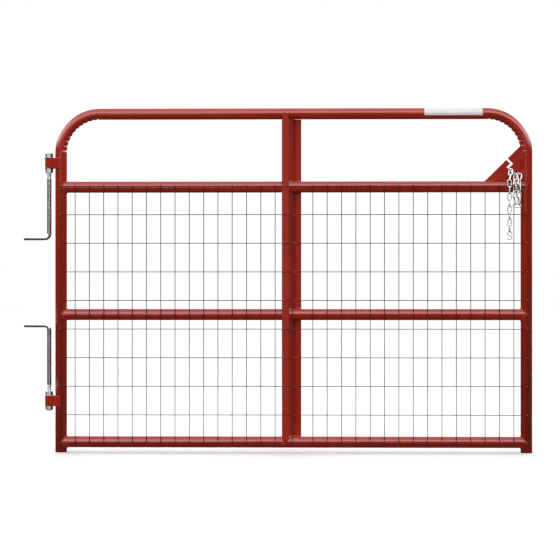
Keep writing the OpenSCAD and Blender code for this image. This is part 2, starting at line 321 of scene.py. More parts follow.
def threaded_rod_tree():
    """A swept rod about the Z axis, with a thread cut into one end."""
    graph = geometry_graph("Threaded rod", {
        "Radius": "Float", "Sides": "Int", "Thread End": "Float", "Way": "Float",
        "Pitch": "Float", "Depth": "Float", "Length": "Float"})
    put, calc = graph.source, graph.calc
    x, y, z = position_parts(graph)
    along = calc("MULTIPLY", calc("SUBTRACT", z, put["Thread End"]), put["Way"])
    turn = calc("DIVIDE", calc("MULTIPLY", calc("ARCTAN2", y, x), put["Way"]), math.tau)
    phase = calc("FRACT", calc("SUBTRACT", calc("DIVIDE", along, put["Pitch"]), turn))
    flank = calc("ABSOLUTE", calc("MULTIPLY_ADD", phase, 2, -1))
    flank = graph.ramp_up(flank, 0.08, 0.92)
    cut = calc("SUBTRACT", 1, graph.ramp_up(
        calc("DIVIDE", calc("SUBTRACT", along, put["Length"]), put["Pitch"]), 0.0, 1.5))
    lead = calc("SUBTRACT", 1, calc("DIVIDE", along, put["Pitch"]), clamp=True)
    depth = calc("MAXIMUM", calc("MULTIPLY", flank, cut), lead)
    share = calc("DIVIDE", calc("MULTIPLY", depth, put["Depth"]), put["Radius"])
    outward = graph.add("ShaderNodeCombineXYZ", {"X": x, "Y": y})
    shift = graph.add("ShaderNodeVectorMath", {0: outward.outputs[0]}, operation="SCALE")
    graph.feed(shift.inputs["Scale"], calc("MULTIPLY", share, -1))
    rod = swept(graph)
    rod.inputs["Fill Caps"].default_value = True
    moved = graph.add(
        "GeometryNodeSetPosition", {"Geometry": rod.outputs[0], "Offset": shift.outputs[0]})
    return close_graph(graph, moved.outputs[0])


def uneven(graph, spread, seed):
    """A random number about 1 for each instance."""
    node = graph.add("FunctionNodeRandomValue", data_type="FLOAT")
    for socket in node.inputs:
        if socket.enabled and socket.name in ("Min", "Max", "Seed"):
            value = {"Min": 1 - spread, "Max": 1 + spread, "Seed": seed}[socket.name]
            graph.feed(socket, value)
    return next(socket for socket in node.outputs if socket.enabled)


def droplet(graph):
    """A small round of a few dozen faces, of radius 1."""
    return graph.add("GeometryNodeMeshUVSphere", {"Segments": 8, "Rings": 6, "Radius": 1.0})


def weld_bead_tree():
    """A bead along each path: a low core with a ripple at every step."""
    graph = geometry_graph("Weld bead", {"Ripple": "Float", "Width": "Float", "Seed": "Int"})
    put, calc = graph.source, graph.calc
    curve = graph.add("GeometryNodeMeshToCurve", {"Mesh": put["Geometry"]})
    steps = graph.add("GeometryNodeResampleCurve", {"Curve": curve.outputs[0]}, mode="LENGTH")
    graph.feed(steps.inputs["Length"], put["Ripple"])
    ring = graph.add("GeometryNodeCurvePrimitiveCircle",
                     {"Resolution": 8, "Radius": calc("MULTIPLY", put["Width"], 0.4)})
    core = graph.add("GeometryNodeCurveToMesh", {
        "Curve": steps.outputs[0], "Profile Curve": ring.outputs[0], "Fill Caps": True})
    size = uneven(graph, 0.13, put["Seed"])
    half = calc("MULTIPLY", calc("MULTIPLY", put["Width"], 0.5), size)
    scale = graph.add("ShaderNodeCombineXYZ", {
        "X": half, "Y": half, "Z": calc("MULTIPLY", put["Ripple"], 0.75)})
    way = graph.add("GeometryNodeInputTangent")
    turn = graph.add("FunctionNodeAlignRotationToVector", {"Vector": way.outputs[0]}, axis="Z")
    ripples = graph.add("GeometryNodeInstanceOnPoints", {
        "Points": steps.outputs[0], "Instance": droplet(graph).outputs[0],
        "Rotation": turn.outputs[0], "Scale": scale.outputs[0]})
    both = graph.add("GeometryNodeJoinGeometry")
    graph.feed(both.inputs[0], core.outputs[0])
    graph.feed(both.inputs[0], ripples.outputs[0])
    return close_graph(graph, both.outputs[0])


def weld_spot_tree():
    """An uneven droplet on each point."""
    graph = geometry_graph("Weld spot", {"Size": "Float", "Depth": "Float", "Seed": "Int"})
    put, calc = graph.source, graph.calc
    wide = calc("MULTIPLY", put["Size"], uneven(graph, 0.22, put["Seed"]))
    tall = calc("MULTIPLY", put["Size"],
                uneven(graph, 0.22, calc("ADD", put["Seed"], 1)))
    scale = graph.add("ShaderNodeCombineXYZ", {"X": wide, "Y": put["Depth"], "Z": tall})
    spots = graph.add("GeometryNodeInstanceOnPoints", {
        "Points": put["Geometry"], "Instance": droplet(graph).outputs[0],
        "Scale": scale.outputs[0]})
    return close_graph(graph, spots.outputs[0])


TREE_MAKERS = {
    "Crimped tube": crimped_tube_tree,
    "Threaded rod": threaded_rod_tree,
    "Weld bead": weld_bead_tree,
    "Weld spot": weld_spot_tree,
}


def geometry_tree(name):
    return bpy.data.node_groups.get(name) or TREE_MAKERS[name]()


# Making pieces ------------------------------------------------------------------------


def new_piece(name, mesh):
    piece = bpy.data.objects.new(name, mesh)
    bpy.context.scene.collection.objects.link(piece)
    return piece


def new_mesh(name, points, edges=(), faces=()):
    mesh = bpy.data.meshes.new(name)
    mesh.from_pydata([tuple(p) for p in points], list(edges), [tuple(f) for f in faces])
    return mesh


def harden(piece):
    """Turns a piece's modifiers into plain mesh."""
    graph = bpy.context.evaluated_depsgraph_get()
    mesh = bpy.data.meshes.new_from_object(piece.evaluated_get(graph))
    piece.modifiers.clear()
    piece.data = mesh
    mesh.name = piece.name
    return piece


def grow(name, seed_mesh, tree_name, material, **inputs):
    """A piece made by a Geometry Nodes tree from a seed mesh of points or paths."""
    tree = geometry_tree(tree_name)
    piece = new_piece(name, seed_mesh)
    modifier = piece.modifiers.new(tree_name, "NODES")
    modifier.node_group = tree
    keys = {i.name: i.identifier for i in tree.interface.items_tree if i.in_out == "INPUT"}
    modifier[keys["Material"]] = material
    for label, value in inputs.items():
        modifier[keys[label.replace("_", " ").title()]] = value
    return harden(piece)


def paths_mesh(name, paths):
    """A mesh of open or closed lines, each given as (points, closed)."""
    points, edges = [], []
    for line, closed in paths:
        first = len(points)
        points += line
        edges += [(first + i, first + i + 1) for i in range(len(line) - 1)]
        if closed:
            edges.append((first + len(line) - 1, first))
    return new_mesh(name, points, edges)


def outward(mesh):
    """Turns the faces of a mesh outwards."""
    shape = bmesh.new()
    shape.from_mesh(mesh)
    bmesh.ops.recalc_face_normals(shape, faces=shape.faces)
    shape.to_mesh(mesh)
    shape.free()


MERGED = 1e-6
COPLANAR = math.radians(0.5)
SHARP = math.radians(35)


def rounded_copy(name, node, material, width, segments=2):
    """A copy of a node whose sharp edges are rounded, to stand for it."""
    shape = bmesh.new()
    shape.from_mesh(NODES[node].data)
    bmesh.ops.remove_doubles(shape, verts=shape.verts, dist=MERGED)
    bmesh.ops.dissolve_limit(
        shape, angle_limit=COPLANAR, verts=shape.verts, edges=shape.edges)
    mesh = bpy.data.meshes.new(name)
    shape.to_mesh(mesh)
    shape.free()
    mesh.materials.clear()
    mesh.materials.append(material)
    piece = new_piece(name, mesh)
    mesh.shade_smooth()
    bevel = piece.modifiers.new("Rounding", "BEVEL")
    bevel.width = width
    bevel.segments = segments
    bevel.limit_method = "ANGLE"
    bevel.angle_limit = SHARP
    flat = piece.modifiers.new("Flat faces", "WEIGHTED_NORMAL")
    flat.weight = 100
    harden(piece)
    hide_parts(node)
    return piece


def centres(node, axis, gap=0.01):
    """Where the separate wires of a node stand along one axis."""
    spots = np.unique(np.round([v.co[axis] for v in NODES[node].data.vertices], 5))
    groups = np.split(spots, np.flatnonzero(np.diff(spots) > gap) + 1)
    return [float(g[0] + g[-1]) / 2 for g in groups]


# Finishes -----------------------------------------------------------------------------


def shader_group(name, inputs, outputs):
    """A new group with float or colour inputs and outputs, and nothing between them yet."""
    tree = bpy.data.node_groups.new(name, "ShaderNodeTree")
    for label, default in inputs.items():
        kind = "NodeSocketFloat" if isinstance(default, (int, float)) else "NodeSocketColor"
        socket = tree.interface.new_socket(label, in_out="INPUT", socket_type=kind)
        socket.default_value = default
    for label, kind in outputs.items():
        tree.interface.new_socket(label, in_out="OUTPUT", socket_type="NodeSocket" + kind)
    graph = Graph(tree)
    graph.source = tree.nodes.new("NodeGroupInput").outputs
    graph.end = tree.nodes.new("NodeGroupOutput").inputs
    graph.place = graph.add("ShaderNodeTexCoord").outputs["Object"]
    return graph


def orange_peel_group():
    """Height of a sprayed film: a fine peel over slow waves."""
    graph = shader_group("Orange peel", {"Scale": 600.0, "Waves": 0.6}, {"Height": "Float"})
    fine = graph.add("ShaderNodeTexNoise", {
        "Vector": graph.place, "Scale": graph.source["Scale"], "Detail": 2.0})
    slow = graph.add("ShaderNodeTexNoise", {
        "Vector": graph.place, "Scale": graph.calc("MULTIPLY", graph.source["Scale"], 0.12),
        "Detail": 1.0})
    waves = graph.calc("MULTIPLY", slow.outputs["Fac"], graph.source["Waves"])
    graph.feed(graph.end[0], graph.calc("ADD", fine.outputs["Fac"], waves))
    return graph.tree


def drift_group():
    """A colour that wanders slowly over the surface between two shades."""
    graph = shader_group(
        "Colour drift",
        {"Light": (1, 1, 1, 1), "Dark": (0, 0, 0, 1), "Scale": 12.0, "Amount": 0.5},
        {"Color": "Color"})
    noise = graph.add("ShaderNodeTexNoise", {
        "Vector": graph.place, "Scale": graph.source["Scale"], "Detail": 5.0,
        "Roughness": 0.6})
    share = graph.calc("MULTIPLY", graph.ramp_up(noise.outputs["Fac"], 0.32, 0.68),
                       graph.source["Amount"])
    mix = graph.add("ShaderNodeMix", data_type="RGBA")
    graph.feed(mix.inputs[0], share)
    graph.feed(mix.inputs[6], graph.source["Light"])
    graph.feed(mix.inputs[7], graph.source["Dark"])
    graph.feed(graph.end[0], mix.outputs[2])
    return graph.tree


def dust_group():
    """A mask of fine dust that settles on surfaces that face up."""
    graph = shader_group("Settled dust", {"Scale": 90.0, "Amount": 0.5}, {"Mask": "Float"})
    facing = graph.add("ShaderNodeNewGeometry").outputs["Normal"]
    up = graph.add("ShaderNodeSeparateXYZ", {"Vector": facing}).outputs["Z"]
    noise = graph.add("ShaderNodeTexNoise", {
        "Vector": graph.place, "Scale": graph.source["Scale"], "Detail": 6.0})
    share = graph.calc("MULTIPLY", graph.ramp_up(up, 0.1, 1.0),
                       graph.ramp_up(noise.outputs["Fac"], 0.35, 0.75))
    graph.feed(graph.end[0], graph.calc("MULTIPLY", share, graph.source["Amount"]))
    return graph.tree


def scuff_group():
    """A mask of thin handling scratches."""
    graph = shader_group("Scuffs", {"Scale": 30.0, "Amount": 0.5}, {"Mask": "Float"})
    bend = graph.add("ShaderNodeTexNoise", {"Vector": graph.place, "Scale": 14.0})
    lines = graph.add("ShaderNodeTexNoise", {
        "Vector": graph.place, "Scale": graph.source["Scale"], "Detail": 8.0,
        "Distortion": 1.2})
    near = graph.calc("ABSOLUTE", graph.calc("SUBTRACT", lines.outputs["Fac"], 0.5))
    line = graph.calc("SUBTRACT", 1, graph.ramp_up(near, 0.0, 0.006))
    where = graph.ramp_up(bend.outputs["Fac"], 0.52, 0.68)
    graph.feed(graph.end[0], graph.calc(
        "MULTIPLY", graph.calc("MULTIPLY", line, where), graph.source["Amount"]))
    return graph.tree


def plating_group():
    """Tone of zinc plating: small blooms with fine streaks along the piece."""
    graph = shader_group("Plating", {"Scale": 260.0, "Streaks": 0.4}, {"Tone": "Float"})
    bloom = graph.add("ShaderNodeTexVoronoi", {
        "Vector": graph.place, "Scale": graph.source["Scale"]})
    squeeze = graph.add("ShaderNodeMapping", {"Vector": graph.place, "Scale": (1, 1, 0.06)})
    streak = graph.add("ShaderNodeTexNoise", {
        "Vector": squeeze.outputs[0], "Scale": 900.0, "Detail": 3.0})
    cell = graph.add("ShaderNodeSeparateColor", {"Color": bloom.outputs["Color"]})
    part = graph.calc("MULTIPLY", streak.outputs["Fac"], graph.source["Streaks"])
    graph.feed(graph.end[0], graph.calc("MULTIPLY_ADD", cell.outputs[0], 0.5, part))
    return graph.tree


GROUP_MAKERS = {
    "Orange peel": orange_peel_group,
    "Colour drift": drift_group,
    "Settled dust": dust_group,
    "Scuffs": scuff_group,
    "Plating": plating_group,
}


def rgba(colour, gain=1.0):
    return (*(min(c * gain, 1.0) for c in colour), 1.0)


class Finish(Graph):
    """A material with its Principled BSDF and the shared groups at hand."""

    def __init__(self, name):
        self.material = bpy.data.materials.new(name)
        self.material.use_nodes = True
        super().__init__(self.material.node_tree)
        self.surface = self.tree.nodes["Principled BSDF"].inputs

    def group(self, name, **values):
        tree = bpy.data.node_groups.get(name) or GROUP_MAKERS[name]()
        node = self.tree.nodes.new("ShaderNodeGroup")
        node.node_tree = tree
        for label, value in values.items():
            self.feed(node.inputs[label], value)
        return node.outputs[0]

    def blend(self, share, first, second):
        mix = self.add("ShaderNodeMix", data_type="RGBA")
        for socket, value in zip((mix.inputs[0], mix.inputs[6], mix.inputs[7]),
                                 (share, first, second)):
            self.feed(socket, value)
        return mix.outputs[2]

    def bump(self, height, strength, distance):
        node = self.add("ShaderNodeBump", {
            "Height": height, "Strength": strength, "Distance": distance})
        self.feed(self.surface["Normal"], node.outputs[0])

    def set(self, **values):
        for label, value in values.items():
            self.feed(self.surface[label.replace("_", " ")], value)
        return self.material


DUST = (0.36, 0.27, 0.22, 1)
BARE_STEEL = (0.30, 0.27, 0.25, 1)


def red_enamel(name="red_enamel", peel=0.12, rough=0.16):
    """Glossy sprayed enamel with a light peel, slow colour drift, a few scuffs and dust."""
    finish = Finish(name)
    colour = settings("finish").paint
    base = finish.group("Colour drift", Light=rgba(colour, 1.05), Dark=rgba(colour, 0.88),
                        Scale=5.0, Amount=0.8)
    scuffs = finish.group("Scuffs", Scale=40.0, Amount=0.06)
    dust = finish.group("Settled dust", Scale=160.0, Amount=0.03)
    worn = finish.blend(scuffs, base, BARE_STEEL)
    peel_height = finish.group("Orange peel", Scale=420.0, Waves=0.5)
    finish.bump(peel_height, peel, 0.0003)
    gloss = finish.calc("MULTIPLY_ADD", finish.calc("ADD", dust, scuffs), 0.5, rough)
    return finish.set(
        Base_Color=finish.blend(dust, worn, DUST), Roughness=gloss, Coat_Weight=0.3,
        Coat_Roughness=0.07, IOR=1.5)


def wire_enamel():
    """Thin dipped enamel on the mesh wires, duller and with a faint peel."""
    finish = Finish("wire_enamel")
    colour = settings("finish").wire_paint
    base = finish.group("Colour drift", Light=rgba(colour, 1.2), Dark=rgba(colour, 0.6),
                        Scale=40.0, Amount=0.9)
    dust = finish.group("Settled dust", Scale=300.0, Amount=0.06)
    height = finish.group("Orange peel", Scale=420.0, Waves=0.8)
    finish.bump(height, 0.25, 0.0004)
    return finish.set(
        Base_Color=finish.blend(dust, base, DUST), Roughness=0.4,
        Specular_IOR_Level=0.25)


def plated_zinc(name, colour, rough, scale):
    """Bright zinc plating with small blooms, fine streaks and a slightly uneven shine."""
    finish = Finish(name)
    tone = finish.group("Plating", Scale=scale, Streaks=0.5)
    base = finish.blend(tone, rgba(colour, 0.85), rgba(colour, 1.12))
    dull = finish.group("Colour drift", Light=(0.0, 0.0, 0.0, 1), Dark=(1, 1, 1, 1),
                        Scale=30.0, Amount=1.0)
    dust = finish.group("Settled dust", Scale=240.0, Amount=0.12)
    shine = finish.calc("MULTIPLY_ADD", dull, 0.06, rough)
    finish.bump(finish.group("Orange peel", Scale=900.0, Waves=0.5), 0.06, 0.0002)
    return finish.set(
        Base_Color=finish.blend(dust, base, DUST), Metallic=1.0,
        Roughness=finish.calc("ADD", shine, dust))


def label_vinyl():
    """Blank white vinyl, satin, with a faint dimpled face and dust along its top."""
    finish = Finish("label_vinyl")
    colour = settings("finish").label
    base = finish.group("Colour drift", Light=rgba(colour), Dark=rgba(colour, 0.93),
                        Scale=25.0, Amount=0.8)
    dust = finish.group("Settled dust", Scale=200.0, Amount=0.12)
    finish.bump(finish.group("Orange peel", Scale=900.0, Waves=2.0), 0.15, 0.0003)
    return finish.set(
        Base_Color=finish.blend(dust, base, DUST), Roughness=0.38, Coat_Weight=0.2)


def studio_floor():
    """Pale seamless floor with a barely seen mottle."""
    finish = Finish("studio_floor")
    colour = settings("stage").floor_tint
    base = finish.group("Colour drift", Light=rgba(colour), Dark=rgba(colour, 0.97),
                        Scale=2.0, Amount=1.0)
    return finish.set(Base_Color=base, Roughness=0.7)


FINISHES = {
    "red_enamel": red_enamel,
    "weld_enamel": lambda: red_enamel("weld_enamel", peel=0.3, rough=0.26),
    "wire_enamel": wire_enamel,
    "bolt_zinc": lambda: plated_zinc("bolt_zinc", settings("finish").zinc, 0.2, 420.0),
    "chain_zinc": lambda: plated_zinc(
        "chain_zinc", settings("finish").chain_zinc, 0.1, 700.0),
    "label_vinyl": label_vinyl,
    "studio_floor": studio_floor,
}


def finish(name):
    return bpy.data.materials.get(name) or FINISHES[name]()


# Operators ----------------------------------------------------------------------------


def arc_points(centre, radius, start, end, steps):
    """Points on an arc in the XZ plane, angles from +X towards +Z."""
    angles = [start + (end - start) * i / steps for i in range(steps + 1)]
    return [centre + radius * Vector((math.cos(a), 0, math.sin(a))) for a in angles]


STEPS_PER_CRIMP = 16
BEND_LEAD = 0.004  # from a bend to the nearest ring on the straight, so no fold runs into it


class GATE_OT_frame_tube(bpy.types.Operator):
    """Sweep the bent frame tube, fold its two bends and give it its wall"""

    bl_idname = "gate.frame_tube"
    bl_label = "Frame tube"

    def execute(self, context):
        s = settings("frame")
        bend = s.bend_radius
        height = TOP_TUBE - bend
        steps = s.crimps * STEPS_PER_CRIMP
        left = Vector((LEFT_LEG + bend, 0, height))
        right = Vector((RIGHT_LEG - bend, 0, height))
        straight = height - BEND_LEAD
        line = [Vector((LEFT_LEG, 0, LEG_END)), Vector((LEFT_LEG, 0, straight))]
        line += arc_points(left, bend, math.pi, math.pi / 2, steps)
        line += [Vector((left.x + BEND_LEAD, 0, TOP_TUBE)),
                 Vector((right.x - BEND_LEAD, 0, TOP_TUBE))]
        line += arc_points(right, bend, math.pi / 2, 0, steps)
        line += [Vector((RIGHT_LEG, 0, straight)), Vector((RIGHT_LEG, 0, LEG_END))]
        tube = grow(
            "frame_tube_bent", paths_mesh("frame_line", [(line, False)]), "Crimped tube",
            finish("red_enamel"), radius=TUBE_R, sides=s.tube_sides, bend_radius=bend,
            bend_reach=(RIGHT_LEG - LEFT_LEG) / 2 - bend, middle=(LEFT_LEG + RIGHT_LEG) / 2,
            bend_height=height, crimps=s.crimps, crimp_depth=s.crimp_depth)
        outward(tube.data)
        wall = tube.modifiers.new("Wall", "SOLIDIFY")
        wall.thickness = s.wall
        wall.offset = -1
        harden(tube)
        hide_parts("frame_tube")
        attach(tube, "gate")
        return {"FINISHED"}


class GATE_OT_sheet_parts(bpy.types.Operator):
    """Round the folds of the brace and the cut edges of the gusset and the hinge straps"""

    bl_idname = "gate.sheet_parts"
    bl_label = "Brace, gusset and straps"

    def execute(self, context):
        s = settings("frame")
        parts = {"centre_brace": "brace_folded", "latch_gusset": "gusset_plate"}
        parts.update({"hinge_strap_" + side: "strap_eye_" + side for side in SIDES})
        for node, name in parts.items():
            width = s.fold_round if node == "centre_brace" else s.edge_round
            piece = rounded_copy(name, node, finish("red_enamel"), width, segments=3)
            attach(piece, "gate")
        return {"FINISHED"}


class GATE_OT_wire_welds(bpy.types.Operator):
    """Weld the wires where they cross, and tack the mesh to the frame and the brace"""

    bl_idname = "gate.wire_welds"
    bl_label = "Wire welds"

    def execute(self, context):
        s = settings("welds")
        for side in ("left", "right"):
            uprights = "mesh_" + side + "_uprights"
            lines = "mesh_" + side + "_lines"
            xs, zs = centres(uprights, 0), centres(lines, 2)
            between = (middle(uprights).y + middle(lines).y) / 2
            low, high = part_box(lines)
            crossings = [(x, between, z) for x in xs for z in zs if low.x < x < high.x]
            seed = new_mesh("crossings_" + side, crossings)
            spots = grow("wire_crossings_" + side, seed, "Weld spot", finish("wire_enamel"),
                         size=s.crossing_size, depth=s.crossing_size, seed=s.seed)
            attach(spots, "gate")

            on_tube = (middle(uprights).y - TUBE_R) / 2
            tacks = [(x, on_tube, middle(rail).z) for x in xs for rail in RAILS]
            leg = LEFT_LEG if side == "left" else RIGHT_LEG
            tacks += [(leg, (middle(lines).y - TUBE_R) / 2, z) for z in zs]
            brace_low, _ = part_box("centre_brace")
            near = brace_low.x + s.spot_size * 2 if side == "left" else low.x
            tacks += [(near, (middle(lines).y + brace_low.y) / 2, z) for z in zs]
            seed = new_mesh("tacks_" + side, tacks)
            spots = grow("wire_tacks_" + side, seed, "Weld spot", finish("weld_enamel"),
                         size=s.spot_size, depth=s.spot_size * 1.1, seed=s.seed + 20)
            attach(spots, "gate")
        return {"FINISHED"}


COPE_PROUD = 0.0004  # how far a cope's bead stands off the rail
COPE_STEPS = 64
BEAD_OFF = 0.0008  # from a face to the axis of a bead laid along it
BEAD_SUNK = 0.002  # how far a bead's axis lies inside an edge


def cope_line(leg, rail, way):
    """Where a rail's end meets a leg of the same radius."""
    radius = TUBE_R + COPE_PROUD
    height = middle(rail).z
    line = []
    for i in range(COPE_STEPS):
        angle = math.tau * i / COPE_STEPS
        rise = radius * math.sin(angle)
        line.append((leg + way * abs(rise), radius * math.cos(angle), height + rise))
    return line


def upright_line(x, y, low, high, steps=8):
    return [(x, y, low + (high - low) * i / steps) for i in range(steps + 1)]


def level_line(x0, x1, y, z, steps=8):
    return [(x0 + (x1 - x0) * i / steps, y, z) for i in range(steps + 1)]


class GATE_OT_weld_beads(bpy.types.Operator):
    """Lay the weld beads of the rails, the gusset, the straps, the brace and the anchor"""

    bl_idname = "gate.weld_beads"
    bl_label = "Weld beads"

    def lay(self, name, paths, width=1.0):
        s = settings("welds")
        bead = grow(name, paths_mesh(name + "_line", paths), "Weld bead",
                    finish("weld_enamel"), ripple=s.ripple, width=s.bead_width * width,
                    seed=s.seed)
        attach(bead, "gate")

    def rails(self):
        for rail in RAILS:
            paths = [(cope_line(LEFT_LEG, rail, 1), True),
                     (cope_line(RIGHT_LEG, rail, -1), True)]
            self.lay(rail + "_welds", paths)

    def gusset(self):
        """Stitched in front and whole behind; each stitch is given as shares of its side."""
        low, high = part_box("latch_gusset")
        size = high - low
        bend = settings("frame").bend_radius
        corner = Vector((RIGHT_LEG - bend, 0, TOP_TUBE - bend))
        steps = 16
        whole = ((0.0, 1.0),)
        stitches = (
            (low.y, ((0.05, 0.3), (0.62, 1.0)), ((0.02, 0.24), (0.55, 0.75))),
            (high.y, whole, whole))
        paths = []
        for y, upright, level in stitches:
            inner = bend - math.sqrt(TUBE_R ** 2 - y ** 2)
            for start, end in upright:
                z0, z1 = low.z + start * size.z, low.z + end * size.z
                line = []
                for z in (z0 + (z1 - z0) * i / steps for i in range(steps + 1)):
                    above = max(z - corner.z, 0)
                    line.append((corner.x + math.sqrt(inner ** 2 - above ** 2), y, z))
                paths.append((line, False))
            for start, end in level:
                x0, x1 = low.x + start * size.x, low.x + end * size.x
                paths.append((level_line(x0, x1, y, low.z - BEAD_OFF), False))
        self.lay("gusset_welds", paths, 0.9)

    def straps(self):
        """Two arcs round the leg at each edge, and a bead down each end of the strap."""
        reach = TUBE_R + 0.0022
        sweep, steps, inset = math.radians(34), 8, 0.003
        paths = []
        for side in SIDES:
            low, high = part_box("hinge_strap_" + side)
            for z in (low.z, high.z):
                for start in (math.radians(82), math.radians(-116)):
                    angles = [start + sweep * i / steps for i in range(steps + 1)]
                    line = [(LEFT_LEG + reach * math.cos(a), reach * math.sin(a), z)
                            for a in angles]
                    paths.append((line, False))
            for y in (low.y + inset, high.y - inset):
                paths.append((upright_line(high.x + 0.0005, y, low.z, high.z), False))
        self.lay("strap_welds", paths)

    def brace(self):
        """Short beads on the web and the rear flange at two rails, and one at the foot."""
        low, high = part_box("centre_brace")
        centre = (low.x + high.x) / 2
        web = (centre - 0.016, centre - 0.004, -0.009)
        flange = (high.x - 0.018, high.x - 0.004)
        steps = 4
        paths = []
        for rail in RAILS[:2]:
            height = middle(rail).z
            for way in (-1, 1):
                z = height + way * (TUBE_R + BEAD_OFF)
                rear = level_line(*flange, high.y - BEAD_SUNK, z, steps)
                paths += [(level_line(*web, z, steps), False), (rear, False)]
        foot = middle("bottom_rail").z + TUBE_R
        line = level_line(*flange, TUBE_R * 0.6, foot - BEAD_SUNK, steps)
        paths.append((line, False))
        self.lay("brace_welds", paths)

    def anchor(self):
        low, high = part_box("chain_anchor")
        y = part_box("latch_gusset")[0].y
        radius, steps = CHAIN_WIRE_R * 1.15, 16
        rings = []
        for x, z in ((low.x + CHAIN_WIRE_R, high.z - CHAIN_WIRE_R),
                     (high.x - CHAIN_WIRE_R, low.z + CHAIN_WIRE_R)):
            ring = [(x + math.cos(a) * radius, y, z + math.sin(a) * radius)
                    for a in (math.tau * i / steps for i in range(steps))]
            rings.append((ring, True))
        self.lay("anchor_welds", rings, 0.5)

    def execute(self, context):
        self.rails()
        self.gusset()
        self.straps()
        self.brace()
        self.anchor()
        return {"FINISHED"}


STEPS_PER_PITCH = 7
BOLT_BEND_STEPS = 14
BOLT_SIDES = 28
BORE_PLAY = 0.0001
BORE_CHAMFER = 0.0008


def bolt_line(side):
    """The J-bolt's axis, from its threaded end to the tip of its pintle."""
    s = settings("hardware")
    low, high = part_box("hinge_bolt_" + side)
    bend = s.bolt_bend
    down = side == "top"
    end, pintle = (high.z, low.z + BOLT_R) if down else (low.z, high.z - BOLT_R)
    way = -1 if down else 1
    step = s.thread_pitch / STEPS_PER_PITCH
    count = int((s.thread_length + s.thread_pitch * 2) / step)
    line = [Vector((0, 0, end + way * step * i)) for i in range(count + 1)]
    centre = Vector((-bend, 0, pintle - way * bend))
    line += arc_points(centre, bend, 0, way * math.pi / 2, BOLT_BEND_STEPS)
    line.append(Vector((low.x, 0, pintle)))
    return line, end, way


def hex_nut(name, node, material):
    """A chamfered hex nut with a plain bore, chamfered at both mouths, to stand for a plain one.
    """
    low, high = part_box(node)
    flat = (high.y - low.y) / 2
    slope = math.tan(math.radians(settings("hardware").nut_chamfer))
    bore = BOLT_R + BORE_PLAY
    mouth = bore + BORE_CHAMFER
    rings, steps = [], 72
    round_r = flat * 0.96

    def corner(angle):
        """Reach of the hexagon's side at an angle."""
        part = (angle + math.pi / 6) % (math.pi / 3) - math.pi / 6
        return flat / math.cos(part)

    def ring(radius, height):
        rings.append([
            (radius(a) * math.sin(a), radius(a) * math.cos(a), height(a))
            for a in (math.tau * i / steps for i in range(steps))])

    ring(lambda a: bore, lambda a: low.z + BORE_CHAMFER)
    ring(lambda a: mouth, lambda a: low.z)
    ring(lambda a: round_r, lambda a: low.z)
    ring(corner, lambda a: low.z + (corner(a) - round_r) * slope)
    ring(corner, lambda a: high.z - (corner(a) - round_r) * slope)
    ring(lambda a: round_r, lambda a: high.z)
    ring(lambda a: mouth, lambda a: high.z)
    ring(lambda a: bore, lambda a: high.z - BORE_CHAMFER)
    points = [p for r in rings for p in r]
    faces = []
    for r in range(len(rings)):
        following = (r + 1) % len(rings)
        for i in range(steps):
            j = (i + 1) % steps
            faces.append((r * steps + i, r * steps + j, following * steps + j,
                          following * steps + i))
    mesh = new_mesh(name, points, faces=faces)
    mesh.materials.append(material)
    outward(mesh)
    piece = new_piece(name, mesh)
    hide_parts(node)
    return piece


class GATE_OT_hinge_bolts(bpy.types.Operator):
    """Make the threaded J-bolts"""

    bl_idname = "gate.hinge_bolts"
    bl_label = "J-bolts"

    def execute(self, context):
        s = settings("hardware")
        for side in SIDES:
            line, end, way = bolt_line(side)
            bolt = grow(
                "j_bolt_" + side, paths_mesh("bolt_line_" + side, [(line, False)]),
                "Threaded rod", finish("bolt_zinc"), radius=BOLT_R, sides=BOLT_SIDES,
                thread_end=end, way=float(way), pitch=s.thread_pitch, depth=s.thread_depth,
                length=s.thread_length)
            outward(bolt.data)
            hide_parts("hinge_bolt_" + side)
            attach(bolt, "hinge_bolt_" + side)
        return {"FINISHED"}


class GATE_OT_nuts_washers(bpy.types.Operator):
    """Make the chamfered nuts and the washers"""

    bl_idname = "gate.nuts_washers"
    bl_label = "Nuts and washers"

    def execute(self, context):
        for node in [n for n in NODES if n.startswith("nut_")]:
            nut = hex_nut("hex_" + node, node, finish("bolt_zinc"))
            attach(nut, node)
        for node in [n for n in NODES if n.startswith("washer_")]:
            washer = rounded_copy("flat_" + node, node, finish("bolt_zinc"), 0.0004)
            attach(washer, node)
        return {"FINISHED"}


def link_axes(node):
    """A link's middle, and its long and crosswise directions with their half sizes."""
    points = np.unique(
        np.round([v.co[:] for v in NODES[node].data.vertices], 6), axis=0)
    low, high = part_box(node)
    centre = np.array((low + high) / 2)
    spread = points - centre
    _, _, axes = np.linalg.svd(spread, full_matrices=False)
    halves = [float(np.abs(spread @ axis).max()) for axis in axes[:2]]
    return Vector(centre), [(Vector(a), h) for a, h in zip(axes[:2], halves)]


class GATE_OT_chain(bpy.types.Operator):
    """Give every chain link the swelling of its butt weld, on the side away from the mesh"""

    bl_idname = "gate.chain"
    bl_label = "Chain link welds"

    def execute(self, context):
        for body in frame["bodies"]:
            if not body.startswith("chain_") or body == "chain_end_hook":
                continue
            centre, (_, (across, reach)) = link_axes(body)
            # An axis comes out pointing either way; the mesh is on the side of +Y.
            if across.y > 0.01 * across.x:
                across = -across
            spot = centre + across * (reach - CHAIN_WIRE_R)
            mark = grow("weld_" + body, new_mesh("mark_" + body, [spot]), "Weld spot",
                        finish("chain_zinc"), size=CHAIN_WIRE_R * 1.12,
                        depth=CHAIN_WIRE_R * 1.18, seed=3)
            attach(mark, body)
        return {"FINISHED"}


